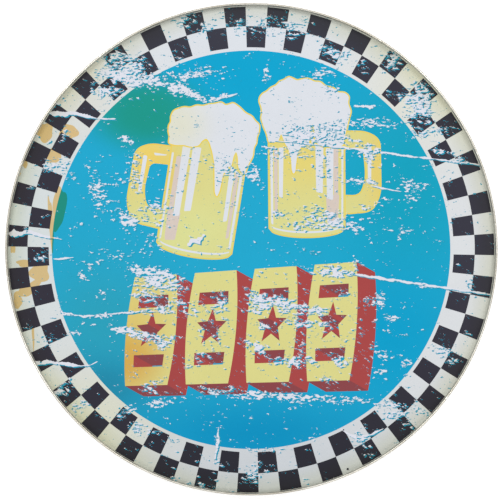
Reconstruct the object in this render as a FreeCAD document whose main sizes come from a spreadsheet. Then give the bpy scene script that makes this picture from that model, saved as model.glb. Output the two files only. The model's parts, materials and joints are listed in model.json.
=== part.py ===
"""Round promotional serving tray: a low pressed pan with a wired edge and a laminated picture face.

Every size is a cell of the sheet "sizes", in millimetres or degrees. The tray lies flat, +Z is up
and the origin is the middle of the plane that its four rubber feet stand on.
"""

import FreeCAD, Part
import os
import Sketcher
from FreeCAD import Rotation, Vector

SIZES = (
    # alias, value, what it measures
    ("outer_dia", 330.0, "tray across the outside of the bead"),
    ("overall_height", 10.0, "table to the top of the bead"),
    ("sheet_thick", 0.3, "tinplate"),
    ("corner_radius", 0.8, "inside radius where the floor turns up into the wall"),
    ("wire_dia", 0.7, "inside of the curl, where the stiffening wire lies"),
    ("wire_play", 0.02, "between the wire and the curl, all round"),
    ("wire_butt_angle", 0.15, "open butt joint of the wire ring, about 0.4 mm long"),
    ("curl_end_angle", 115.0, "from straight out, under the wire, to the sheet's raw edge"),
    ("adhesive_thick", 0.05, "film of adhesive under the picture"),
    ("print_thick", 0.12, "printed sheet"),
    ("overlay_thick", 0.08, "clear film over the print"),
    ("lip_angle", 80.0, "how far the films follow the corner up"),
    ("foot_dia", 14.0, "rubber foot"),
    ("foot_height", 1.2, "rubber foot, without its tape"),
    ("foot_bevel", 0.4, "bevel round the foot's lower face"),
    ("tape_dia", 12.6, "foam tape that holds a foot"),
    ("tape_thick", 0.2, "foam tape that holds a foot"),
    ("feet_circle_dia", 250.0, "circle that the feet's centres lie on"),
)
FOOT_ANGLES = (45, 135, 225, 315)

# Heights and radii that several parts share, as expressions of the cells.
TAPE_TOP = "(sizes.foot_height + sizes.tape_thick)"
FLOOR_TOP = f"({TAPE_TOP} + sizes.sheet_thick)"
CURL_RADIUS = "(sizes.wire_dia / 2 + sizes.sheet_thick)"
CURL_R = f"(sizes.outer_dia / 2 - {CURL_RADIUS})"
CURL_Z = f"(sizes.overall_height - {CURL_RADIUS})"
WALL_INSIDE = f"({CURL_R} - {CURL_RADIUS})"
WALL_OUTSIDE = f"({WALL_INSIDE} + sizes.sheet_thick)"
CORNER_R = f"({WALL_INSIDE} - sizes.corner_radius)"
CORNER_Z = f"({FLOOR_TOP} + sizes.corner_radius)"


def make_sheet():
    """The spreadsheet of driving dimensions: a note in column A, the named value in column B."""
    sheet = doc.addObject("Spreadsheet::Sheet", "sizes")
    for row, (alias, value, note) in enumerate(SIZES, start=1):
        sheet.set(f"A{row}", note)
        sheet.set(f"B{row}", str(value))
        sheet.setAlias(f"B{row}", alias)
    doc.recompute()
    return sheet


def value_of(expression):
    """The number that an expression of the sheet's cells gives."""
    return float(sizes.evalExpression(expression))


def polar(centre_r, centre_z, radius, angle):
    """A vertex of a profile at an angle in degrees round a centre, as two expressions."""
    return (
        f"{centre_r} + {radius} * cos({angle} * 1 deg)",
        f"{centre_z} + {radius} * sin({angle} * 1 deg)",
    )


def anticlockwise_arc(start, middle, end):
    """The arc through three points in the sketch's plane, its ends swapped if it runs clockwise."""
    anticlockwise = (middle - start).cross(end - middle).z > 0
    return Part.Arc(start, middle, end) if anticlockwise else Part.Arc(end, middle, start)


def end_at(sketch, edge, point):
    """1 or 2: the end of a sketch's edge that lies at a point."""
    shape = sketch.Geometry[edge]
    near_start = (shape.StartPoint - point).Length < (shape.EndPoint - point).Length
    return 1 if near_start else 2


def bind(sketch, constraint, expression):
    """Adds a constraint to a sketch and drives it by an expression."""
    index = sketch.addConstraint(constraint)
    sketch.setExpression(f"Constraints[{index}]", expression)


def turned_body(name, vertices, arcs):
    """A body turned about Z from a closed profile, which starts and ends on the axis.

    vertices are pairs of expressions, radius and height. arcs gives, for each edge that is round,
    the number of the vertex it starts from, its radius and a vertex near its middle.
    """
    body = doc.addObject("PartDesign::Body", name)
    body.Label = name
    sketch = body.newObject("Sketcher::SketchObject", name + "_profile")
    upright = next(o for o in body.Origin.OriginFeatures if o.Role == "XZ_Plane")
    sketch.AttachmentSupport = (upright, "")
    sketch.MapMode = "FlatFace"

    points = [Vector(value_of(r), value_of(z), 0) for r, z in vertices]
    last = len(points) - 1
    following = list(range(1, last + 1)) + [0]
    for i, j in enumerate(following):
        if i in arcs:
            middle = Vector(*(value_of(e) for e in arcs[i][1]), 0)
            sketch.addGeometry(anticlockwise_arc(points[i], middle, points[j]))
        else:
            sketch.addGeometry(Part.LineSegment(points[i], points[j]))

    for i, j in enumerate(following):
        joined = (i, end_at(sketch, i, points[j]), j, end_at(sketch, j, points[j]))
        sketch.addConstraint(Sketcher.Constraint("Coincident", *joined))
    for i, (r, z) in enumerate(vertices):
        end = end_at(sketch, i, points[i])
        if i in (0, last):
            sketch.addConstraint(Sketcher.Constraint("PointOnObject", i, end, -2))
        else:
            bind(sketch, Sketcher.Constraint("DistanceX", -1, 1, i, end, points[i].x), r)
        bind(sketch, Sketcher.Constraint("DistanceY", -1, 1, i, end, points[i].y), z)
    for i, (radius, _) in arcs.items():
        bind(sketch, Sketcher.Constraint("Radius", i, value_of(radius)), radius)

    turned = body.newObject("PartDesign::Revolution", name + "_turned")
    turned.Profile = sketch
    turned.ReferenceAxis = (sketch, ["V_Axis"])
    turned.Angle = 360
    body.Tip = turned
    return body


def tray_pan():
    """The pressing: flat floor, tight corner, upright wall, and the sheet curled out over the wire."""
    inner_curl, outer_curl = "(sizes.wire_dia / 2)", CURL_RADIUS
    curl_end = "(-sizes.curl_end_angle)"
    curl_middle = "(90 - sizes.curl_end_angle / 2)"
    outer_corner = "(sizes.corner_radius + sizes.sheet_thick)"
    vertices = [
        ("0", TAPE_TOP),
        (CORNER_R, TAPE_TOP),
        (WALL_OUTSIDE, CORNER_Z),
        (WALL_OUTSIDE, CURL_Z),
        polar(CURL_R, CURL_Z, inner_curl, curl_end),
        polar(CURL_R, CURL_Z, outer_curl, curl_end),
        (WALL_INSIDE, CURL_Z),
        (WALL_INSIDE, CORNER_Z),
        (CORNER_R, FLOOR_TOP),
        ("0", FLOOR_TOP),
    ]
    arcs = {
        1: (outer_corner, polar(CORNER_R, CORNER_Z, outer_corner, "(-45)")),
        3: (inner_curl, polar(CURL_R, CURL_Z, inner_curl, curl_middle)),
        5: (outer_curl, polar(CURL_R, CURL_Z, outer_curl, curl_middle)),
        7: ("sizes.corner_radius", polar(CORNER_R, CORNER_Z, "sizes.corner_radius", "(-45)")),
    }
    return turned_body("tray_pan", vertices, arcs)


def rim_wire():
    """The steel wire inside the curl, a ring with an open butt joint."""
    ring = doc.addObject("Part::Torus", "rim_wire")
    ring.Label = "rim_wire"
    ring.setExpression("Radius1", CURL_R)
    ring.setExpression("Radius2", "sizes.wire_dia / 2 - sizes.wire_play")
    ring.setExpression("Angle3", "360 - sizes.wire_butt_angle")
    ring.setExpression("Placement.Base.z", CURL_Z)
    return ring


def face_film(name, below, thick):
    """One film of the face: flat on the floor, with its edge pressed a little way up the corner.

    below is the depth of the films under it and thick its own thickness, as expressions.
    """
    lip = "(sizes.lip_angle - 90)"
    lip_middle = "(sizes.lip_angle / 2 - 90)"
    under = f"(sizes.corner_radius - {below})"
    upper = f"(sizes.corner_radius - {below} - {thick})"
    vertices = [
        ("0", f"{CORNER_Z} - {under}"),
        (CORNER_R, f"{CORNER_Z} - {under}"),
        polar(CORNER_R, CORNER_Z, under, lip),
        polar(CORNER_R, CORNER_Z, upper, lip),
        (CORNER_R, f"{CORNER_Z} - {upper}"),
        ("0", f"{CORNER_Z} - {upper}"),
    ]
    arcs = {
        1: (under, polar(CORNER_R, CORNER_Z, under, lip_middle)),
        3: (upper, polar(CORNER_R, CORNER_Z, upper, lip_middle)),
    }
    return turned_body(name, vertices, arcs)


def around(name, make_one):
    """A group of separate equal pieces, one at each foot's place."""
    group = doc.addObject("Part::Compound", name)
    group.Label = name
    pieces = []
    for number, angle in enumerate(FOOT_ANGLES, start=1):
        piece = make_one(f"{name}_{number}")
        piece.Placement.Rotation = Rotation(Vector(0, 0, 1), angle)
        piece.setExpression("Placement.Base.x", f"sizes.feet_circle_dia / 2 * cos({angle} deg)")
        piece.setExpression("Placement.Base.y", f"sizes.feet_circle_dia / 2 * sin({angle} deg)")
        pieces.append(piece)
    group.Links = pieces
    return group


def foot(name):
    """A low round rubber foot, bevelled where it meets the table."""
    bevel = doc.addObject("Part::Cone", name + "_bevel")
    bevel.setExpression("Radius1", "sizes.foot_dia / 2 - sizes.foot_bevel")
    bevel.setExpression("Radius2", "sizes.foot_dia / 2")
    bevel.setExpression("Height", "sizes.foot_bevel")
    side = doc.addObject("Part::Cylinder", name + "_side")
    side.setExpression("Radius", "sizes.foot_dia / 2")
    side.setExpression("Height", "sizes.foot_height - sizes.foot_bevel")
    side.setExpression("Placement.Base.z", "sizes.foot_bevel")
    whole = doc.addObject("Part::Fuse", name)
    whole.Base, whole.Tool = bevel, side
    return whole


def foot_tape(name):
    """The disc of foam tape between a foot and the pan."""
    disc = doc.addObject("Part::Cylinder", name)
    disc.setExpression("Radius", "sizes.tape_dia / 2")
    disc.setExpression("Height", "sizes.tape_thick")
    disc.setExpression("Placement.Base.z", "sizes.foot_height")
    return disc


def check(parts):
    """Stops if anything failed to build, since a recompute reports no error by itself."""
    failed = [o.Name for o in doc.Objects if {"Invalid", "Error"} & set(o.State)]
    if failed:
        raise RuntimeError(f"not built: {', '.join(failed)}")
    for part in parts:
        if part.Shape.isNull() or not part.Shape.isValid():
            raise RuntimeError(f"{part.Label} has no valid shape")


doc = FreeCAD.newDocument("serving_tray")
sizes = make_sheet()
parts = [
    tray_pan(),
    rim_wire(),
    face_film("face_adhesive", "0", "sizes.adhesive_thick"),
    face_film("face_print", "sizes.adhesive_thick", "sizes.print_thick"),
    face_film("clear_overlay", "(sizes.adhesive_thick + sizes.print_thick)", "sizes.overlay_thick"),
    around("base_feet", foot),
    around("foot_tapes", foot_tape),
]
doc.recompute()
check(parts)

os.makedirs("parts", exist_ok=True)
for part in parts:
    part.Shape.exportStep(f"parts/{part.Label}.step")
    box = part.Shape.BoundBox
    print(f"{part.Label}: {len(part.Shape.Solids)} solid(s), {part.Shape.Volume:.1f} mm3,"
          f" {box.XLength:.2f} x {box.YLength:.2f} x {box.ZLength:.2f}, from z {box.ZMin:.3f}")
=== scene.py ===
"""Looks of the round promotional serving tray: pressed pan, printed face, rubber feet, studio.

Lengths in the classes are millimetres and become metres when a mesh is made. The picture has a
frame of its own: its centre is the middle of the print, x to the right and y to the picture's top.
"""

import json
import logging
import math
from dataclasses import dataclass, field
from enum import Enum

import bpy
import numpy as np
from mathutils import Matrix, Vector
from mathutils.geometry import delaunay_2d_cdt


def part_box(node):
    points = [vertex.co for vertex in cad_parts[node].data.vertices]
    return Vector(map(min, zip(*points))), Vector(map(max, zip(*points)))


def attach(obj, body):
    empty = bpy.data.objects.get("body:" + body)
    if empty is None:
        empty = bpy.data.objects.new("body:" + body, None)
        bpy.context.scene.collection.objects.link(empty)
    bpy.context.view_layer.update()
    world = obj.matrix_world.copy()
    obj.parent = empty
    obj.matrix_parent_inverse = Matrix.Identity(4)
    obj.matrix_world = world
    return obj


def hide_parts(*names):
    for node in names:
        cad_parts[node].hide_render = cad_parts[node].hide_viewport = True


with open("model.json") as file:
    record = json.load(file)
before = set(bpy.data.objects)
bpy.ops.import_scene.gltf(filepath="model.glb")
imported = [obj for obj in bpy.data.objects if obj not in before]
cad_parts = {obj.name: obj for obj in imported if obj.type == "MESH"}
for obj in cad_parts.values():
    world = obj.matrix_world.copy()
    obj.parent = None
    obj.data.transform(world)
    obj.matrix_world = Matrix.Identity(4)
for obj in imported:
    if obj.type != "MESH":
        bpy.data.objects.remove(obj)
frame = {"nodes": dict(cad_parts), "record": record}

MM = 0.001
BODY = "root"
log = logging.getLogger("tray")


# ---------------------------------------------------------------- plane shapes


def circle(radius: float, count: int) -> np.ndarray:
    """Points evenly spaced round a circle about the origin, anticlockwise from +X.

    Args:
        radius: the circle's radius.
        count: how many points.
    Returns:
        An array of count rows of x and y.
    """
    angle = np.arange(count) * (2 * np.pi / count)
    return radius * np.stack([np.cos(angle), np.sin(angle)], axis=1)


def rounded(corners: tuple | list, reach: float | tuple, steps: int) -> np.ndarray:
    """A closed outline with its corners rounded.

    Each corner is replaced by a parabola that leaves its two sides at the same distance from the
    corner: (1-s)^2 times one point, plus 2s(1-s) times the corner, plus s^2 times the other.

    Args:
        corners: the outline's corners in order.
        reach: that distance, for all corners or for each. It stops short of a side's middle.
        steps: points on each parabola.
    Returns:
        The outline's points in order.
    """
    tip = np.asarray(corners, float)
    back, ahead = np.roll(tip, 1, axis=0) - tip, np.roll(tip, -1, axis=0) - tip
    lengths = np.stack([np.linalg.norm(back, axis=1), np.linalg.norm(ahead, axis=1)])
    used = np.minimum(np.broadcast_to(np.asarray(reach, float), len(tip)), 0.48 * lengths.min(axis=0))
    first = tip + back * (used / lengths[0])[:, None]
    last = tip + ahead * (used / lengths[1])[:, None]
    s = np.linspace(0, 1, steps)[None, :, None]
    curve = (1 - s) ** 2 * first[:, None] + 2 * s * (1 - s) * tip[:, None] + s ** 2 * last[:, None]
    return curve.reshape(-1, 2)


def closed(outline: np.ndarray) -> np.ndarray:
    """The outline as a line that comes back to its first point."""
    return np.concatenate([outline, outline[:1]])


def grown(outline: np.ndarray, amount: float) -> np.ndarray:
    """The outline made larger: each point moves along the mean of its two sides' normals.

    Args:
        outline: the outline's points in order, either way round.
        amount: how far every point moves outwards.
    Returns:
        The larger outline's points.
    """
    side = np.roll(outline, -1, axis=0) - outline
    normal = np.stack([side[:, 1], -side[:, 0]], axis=1)
    normal /= np.linalg.norm(normal, axis=1, keepdims=True) + 1e-9
    mean = normal + np.roll(normal, 1, axis=0)
    mean /= np.linalg.norm(mean, axis=1, keepdims=True) + 1e-9
    area = 0.5 * np.sum(outline[:, 0] * side[:, 1] - outline[:, 1] * side[:, 0])
    return outline + mean * amount * np.sign(area)


def turned(points: np.ndarray, degrees: float) -> np.ndarray:
    """The points turned anticlockwise about the origin."""
    c, s = math.cos(math.radians(degrees)), math.sin(math.radians(degrees))
    return points @ np.array([[c, s], [-s, c]])


def inside(points: np.ndarray, outline: np.ndarray) -> np.ndarray:
    """Which points lie in a closed outline, by counting the sides crossed on the way to +X.

    Args:
        points: rows of x and y.
        outline: the outline's points in order.
    Returns:
        True for each point inside.
    """
    found = np.zeros(len(points), bool)
    low, high = outline.min(axis=0), outline.max(axis=0)
    near = np.flatnonzero(np.all((points >= low) & (points <= high), axis=1))
    x, y = points[near, 0][:, None], points[near, 1][:, None]
    x0, y0 = outline[:, 0], outline[:, 1]
    x1, y1 = np.roll(x0, -1), np.roll(y0, -1)
    straddles = (y0 > y) != (y1 > y)
    rise = np.where(y1 == y0, 1.0, y1 - y0)
    crossed = straddles & (x < x0 + (y - y0) * (x1 - x0) / rise)
    found[near] = crossed.sum(axis=1) % 2 == 1
    return found


def smooth_path(points: tuple, steps: int) -> np.ndarray:
    """A Catmull-Rom curve through a few points.

    Args:
        points: the points that the curve goes through.
        steps: how many of its own points lie from each of them to the next.
    Returns:
        The curve's points, the first and last as given.
    """
    p = np.asarray(points, float)
    p = np.concatenate([[2 * p[0] - p[1]], p, [2 * p[-1] - p[-2]]])
    a, b, c, d = p[:-3], p[1:-2], p[2:-1], p[3:]
    s = np.linspace(0, 1, steps, endpoint=False)[None, :, None]
    a, b, c, d = (q[:, None] for q in (a, b, c, d))
    run = 0.5 * (2 * b + (c - a) * s + (2 * a - 5 * b + 4 * c - d) * s ** 2
                 + (3 * b - a - 3 * c + d) * s ** 3)
    return np.concatenate([run.reshape(-1, 2), p[-2:-1]])


# ---------------------------------------------------------------- colours

VEIL = 0.006         # shine off the clear film, the same all over
LIGHT = 1.24         # diffuse light on the tray at its middle
LIGHT_RISE = 0.03    # how much brighter it is at the picture's top, and darker at its foot
FACE_RADIUS = 163.0
DARKEST = 0.001      # the least reflectance of any ink


def linear(colour: tuple) -> np.ndarray:
    """Display values 0-255 as linear light: ((c + 0.055) / 1.055)^2.4, or c / 12.92 near black."""
    c = np.asarray(colour, float) / 255
    return np.where(c <= 0.04045, c / 12.92, ((c + 0.055) / 1.055) ** 2.4)


def pigment(colour: tuple, height: float = 0.0) -> np.ndarray:
    """The reflectance that shows a display colour under the studio's light.

    Args:
        colour: the display colour, 0-255.
        height: y on the picture in millimetres, because the light is stronger at its top.
    Returns:
        Linear red, green and blue: the shine is taken off, and the rest divided by the light.
    """
    light = LIGHT + LIGHT_RISE * height / FACE_RADIUS
    return np.clip((linear(colour) - VEIL) / light, DARKEST, 1.0)


class Ink(Enum):
    """The sheet's colours as they are shown at the middle of the tray."""
    BLACK = (56, 54, 64)
    PAPER = (216, 219, 222)
    BLUE = (38, 165, 203)
    YELLOW = (215, 210, 138)
    GOLD = (228, 206, 98)
    FOAM = (216, 220, 227)
    BLUSH = (211, 197, 187)
    RED = (166, 74, 73)
    DARK_RED = (137, 72, 76)
    CHIP = (219, 221, 231)
    TEAL = (42, 149, 178)


INKS = list(Ink)
INK_ATTRIBUTE, WEAR_ATTRIBUTE = "ink", "wear"


@dataclass(frozen=True)
class Wash:
    """A soft change of one ink's colour, for print tints and for painted light and shade: full at the
    centre, fading as a bell curve.
    """
    ink: Ink
    x: float
    y: float
    half_width: float
    half_height: float
    colour: tuple
    strength: float = 1.0
    sharpness: float = 2.0

    def lay(self, at: np.ndarray, chosen: np.ndarray, colours: np.ndarray) -> None:
        """Mixes the wash into colours of its ink, with the weight strength e^-(d^sharpness).

        Args:
            at: points on the picture.
            chosen: their ink numbers.
            colours: their colours, changed in place.
        """
        dx, dy = (at[:, 0] - self.x) / self.half_width, (at[:, 1] - self.y) / self.half_height
        distance = np.sqrt(dx ** 2 + dy ** 2)
        weight = self.strength * np.exp(-distance ** self.sharpness) * (chosen == INKS.index(self.ink))
        colours += weight[:, None] * (pigment(self.colour, self.y) - colours)


INK_WASHES_AND_PAINTED_LIGHT = (
    # Painted light and shade: black lighter at the picture's top, and paper and black darker at its foot,
    # beyond the lights' own fall-off.
    Wash(Ink.PAPER, 0, 160, 150, 60, (218, 223, 230), 0.9),
    Wash(Ink.PAPER, -160, 20, 60, 110, (207, 215, 215), 0.9),
    Wash(Ink.PAPER, 0, -160, 150, 70, (196, 201, 206), 1.0),
    Wash(Ink.BLACK, 0, 160, 150, 80, (63, 64, 75), 0.9),
    Wash(Ink.BLACK, 0, -160, 150, 80, (48, 48, 56), 1.0),
    # Painted sheen: black made lighter and bluer towards the picture's right, where the film's reflection
    # lifts it.
    Wash(Ink.BLACK, 165, 0, 50, 80, (62, 62, 73), 0.8),
    Wash(Ink.BLUE, 0, 120, 95, 45, (4, 163, 206)),
    Wash(Ink.BLUE, 105, 45, 50, 70, (26, 160, 188)),
    Wash(Ink.BLUE, 95, -60, 45, 50, (16, 156, 199)),
    Wash(Ink.BLUE, -100, -50, 45, 45, (46, 158, 184)),
    # Partly painted shade, partly the field's own gradient: the blue darker towards the picture's foot.
    Wash(Ink.BLUE, 0, -125, 90, 28, (10, 142, 188)),
    Wash(Ink.BLUE, -100, -92, 34, 20, (39, 134, 164)),
    Wash(Ink.BLUE, -70, 92, 38, 25, (34, 149, 134), 0.97, 4.0),
    Wash(Ink.YELLOW, -45, 12, 40, 22, (214, 218, 150), 0.8),
    Wash(Ink.YELLOW, 45, 18, 40, 12, (215, 216, 150), 0.6),
    Wash(Ink.YELLOW, -70, 60, 18, 18, (236, 204, 98), 0.85),
    Wash(Ink.YELLOW, -56, 48, 13, 18, (224, 196, 102), 0.6),
    Wash(Ink.YELLOW, -86, -72, 26, 24, (208, 166, 82), 1.0, 3.0),
    Wash(Ink.YELLOW, -76, -40, 22, 22, (216, 190, 104), 0.6),
    Wash(Ink.YELLOW, 34, 62, 34, 18, (227, 208, 112), 0.8),
    Wash(Ink.YELLOW, 86, 54, 10, 30, (228, 199, 100), 0.7),
    Wash(Ink.PAPER, -112, -112, 56, 34, (210, 211, 186), 0.8),
    Wash(Ink.PAPER, -118, 112, 34, 34, (217, 216, 202), 0.7),
    Wash(Ink.PAPER, 118, 112, 44, 44, (221, 221, 204), 0.85),
    Wash(Ink.GOLD, -62, 78, 14, 30, (238, 200, 84), 0.8),
    Wash(Ink.FOAM, -52, 84, 22, 18, (219, 219, 201), 0.95, 3.0),
    Wash(Ink.RED, -70, -70, 30, 40, (158, 72, 72), 0.6),
)


# ---------------------------------------------------------------- the picture


@dataclass
class Picture:
    """Filled outlines, each painted over those before it, with the lines where they meet."""
    patches: list = field(default_factory=list)
    lines: list = field(default_factory=list)

    def fill(self, outline: np.ndarray, ink: Ink) -> None:
        """Paints a closed outline."""
        self.patches.append((np.asarray(outline, float), ink))

    def edges(self) -> tuple[np.ndarray, np.ndarray]:
        """All outlines and lines as one set of points and the pairs of them that are joined.

        Returns:
            The points, and rows of two point numbers.
        """
        points, pairs, count = [], [], 0
        for outline, _ in self.patches:
            number = np.arange(len(outline))
            points.append(outline)
            pairs.append(count + np.stack([number, np.roll(number, -1)], axis=1))
            count += len(outline)
        for line in self.lines:
            number = np.arange(len(line))
            points.append(line)
            pairs.append(count + np.stack([number[:-1], number[1:]], axis=1))
            count += len(line)
        return np.concatenate(points), np.concatenate(pairs)


@dataclass
class Mug:
    """One tilted mug of pale beer with a head of foam. u runs across it and v up it.

    The gleam above the base is two arcs, each a height and a share of the sag. Each rounding is how
    far from its corners an outline starts to turn.
    """
    x: float
    y: float
    tilt: float
    mirrored: bool
    foam: tuple
    height: float = 75.0
    half_base: float = 25.1
    half_top: float = 25.5
    base_edge: float = 3.0
    sag: float = 6.1
    gleam: tuple = ((5.3, 0.98), (5.9, 0.86))
    outline: float = 0.9
    handle: tuple = ((-20, 67.5), (-40, 67), (-49, 62), (-49.4, 26), (-44, 14), (-20, 12))
    handle_rounding: tuple = (1, 9, 8, 11, 9, 1)
    hole: tuple = ((-25.9, 55.2), (-38, 54.6), (-39.4, 36), (-35.5, 24.6), (-24.6, 25))
    hole_rounding: tuple = (1, 4, 6, 5, 1)
    foam_rounding: float = 1.5

    def placed(self, shape: np.ndarray) -> np.ndarray:
        """A shape in u and v, mirrored if the mug is, tilted and put on the picture."""
        facing = (-1, 1) if self.mirrored else (1, 1)
        return turned(shape * facing, -self.tilt) + (self.x, self.y)

    def glass(self) -> np.ndarray:
        """The glass's outline: straight sides, and a base that sags as half an ellipse."""
        across = np.linspace(-1, 1, 24)
        foot = self.base_edge - self.sag * np.sqrt(1 - across ** 2)
        base = np.stack([self.half_base * across, foot], axis=1)
        return np.concatenate([base, [(self.half_top, self.height), (-self.half_top, self.height)]])

    @staticmethod
    def stripe(left: float, right: float, foot: float, head: float, lean: float) -> np.ndarray:
        """A light stripe that narrows a little to its slanting foot, with rounded corners.

        Args:
            left, right: u of its two sides at the head.
            foot, head: v of its two ends.
            lean: how far the head is moved to the right.
        Returns:
            The stripe's outline in u and v.
        """
        inset = 0.12 * (right - left)
        corners = [(left + inset, foot), (right - inset, foot + 1),
                   (right + lean, head), (left + lean, head)]
        return rounded(corners, reach=0.9, steps=4)

    def crescent(self) -> np.ndarray:
        """The bright line above the base: two arcs, each at its height less its share of the sag."""
        across = np.linspace(-0.94, 0.94, 22)
        drop = self.sag * np.sqrt(1 - across ** 2)
        lower, upper = (np.stack([self.half_base * across, height - share * drop], axis=1)
                        for height, share in self.gleam)
        return np.concatenate([lower, upper[::-1]])

    def outlined(self, picture: Picture, shape: np.ndarray, ink: Ink) -> None:
        """Paints a shape in its ink over a gold one that is larger by the outline's width."""
        picture.fill(self.placed(grown(shape, self.outline)), Ink.GOLD)
        picture.fill(self.placed(shape), ink)

    def paint(self, picture: Picture) -> None:
        """Paints the handle, its hole, the glass, the light on it and the foam, in that order."""
        self.outlined(picture, rounded(self.handle, self.handle_rounding, steps=7), Ink.YELLOW)
        self.outlined(picture, rounded(self.hole, self.hole_rounding, steps=5), Ink.BLUE)
        self.outlined(picture, self.glass(), Ink.YELLOW)
        for *stripe, ink in LIGHTS:
            picture.fill(self.placed(self.stripe(*stripe)), ink)
        picture.fill(self.placed(self.crescent()), Ink.FOAM)
        self.outlined(picture, rounded(self.foam, self.foam_rounding, steps=4), Ink.FOAM)


# The stripes of light on a mug and on its handle: left and right, foot and head, lean, and the ink.
LIGHTS = (
    (-24.3, -22.9, 5, 64, -0.6, Ink.FOAM), (-21.4, -17.8, 7, 62, 0.0, Ink.BLUSH),
    (-21.6, -12.6, 5, 25, -0.2, Ink.BLUSH), (-18.2, -12.8, 21.5, 70, -0.2, Ink.FOAM),
    (-11.4, -5.6, 26, 70, -0.2, Ink.FOAM), (15.8, 19.2, 23, 57, -0.4, Ink.FOAM),
    (19.4, 22.0, 12, 57, 0.0, Ink.BLUSH), (22.4, 24.3, 5, 56, 0.2, Ink.FOAM),
    (-43.6, -40.8, 34, 59, 0.0, Ink.FOAM), (-37.0, -27.6, 60.0, 61.8, 0.0, Ink.FOAM),
)
LEFT_FOAM = (
    (-28, 69.5), (-23, 69), (-18, 70), (-13, 69.5), (-8, 71), (-6, 75), (-3.4, 77), (-0.8, 74), (2, 68),
    (4.4, 61), (6.2, 51), (7.8, 41.5), (9.6, 38.8), (10.8, 43), (11.4, 55), (13.4, 59.6), (16, 61),
    (16.4, 68), (17.6, 71.4), (19.2, 68), (20.6, 61), (22.4, 58.6), (25.6, 57), (26.8, 63), (29.2, 70),
    (28.8, 76), (30.2, 79), (29.6, 83), (30.6, 86), (30.2, 91.4), (26.6, 93.6), (24.4, 96.2),
    (19.6, 97.6), (15, 101), (10.4, 103.2), (8, 101.6), (5.4, 100.6), (2.6, 102.4), (-1.4, 100.6),
    (-5.6, 99.6), (-9, 97.8), (-13.6, 97.6), (-17.4, 95.2), (-21.6, 95.2), (-26.4, 92.8), (-28.2, 91.4),
    (-29.4, 87.6), (-28.6, 84), (-29.8, 81.4), (-29.4, 77), (-28, 74.5),
)
RIGHT_FOAM = (
    (-26, 65), (-24.6, 58), (-18, 57), (-11, 57.4), (-6.4, 60), (-5, 70), (-3.8, 73.4), (-2.8, 68),
    (-1.6, 59), (3.4, 57.6), (6.2, 53), (7.2, 45), (7.6, 41), (8.8, 39), (10, 41.4), (10.4, 49),
    (12.2, 56), (14.6, 60), (17, 66.5), (19, 61), (22, 60.4), (25.4, 60.4), (26.6, 66.4), (28.8, 71.4),
    (30.4, 77), (29.6, 80.4), (30, 84), (31.6, 88.4), (30.8, 91.4), (29, 93.4), (26.4, 94.6),
    (23.4, 97.4), (20.2, 98.6), (17.4, 101.6), (14.4, 102.4), (11.8, 104.6), (8.6, 103.2), (6, 101.8),
    (0.6, 103.4), (-3, 102.6), (-5.4, 101), (-9.6, 101), (-13, 97.8), (-18.4, 96.8), (-21, 93.8),
    (-26, 93.6), (-28.8, 91), (-28, 86.4), (-30, 81), (-28.4, 75.4), (-27.4, 71),
)
MUGS = (
    Mug(x=-38.7, y=-1.5, tilt=9.1, mirrored=False, foam=LEFT_FOAM),
    Mug(x=37.6, y=11.8, tilt=-0.4, mirrored=True, foam=RIGHT_FOAM),
)


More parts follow.
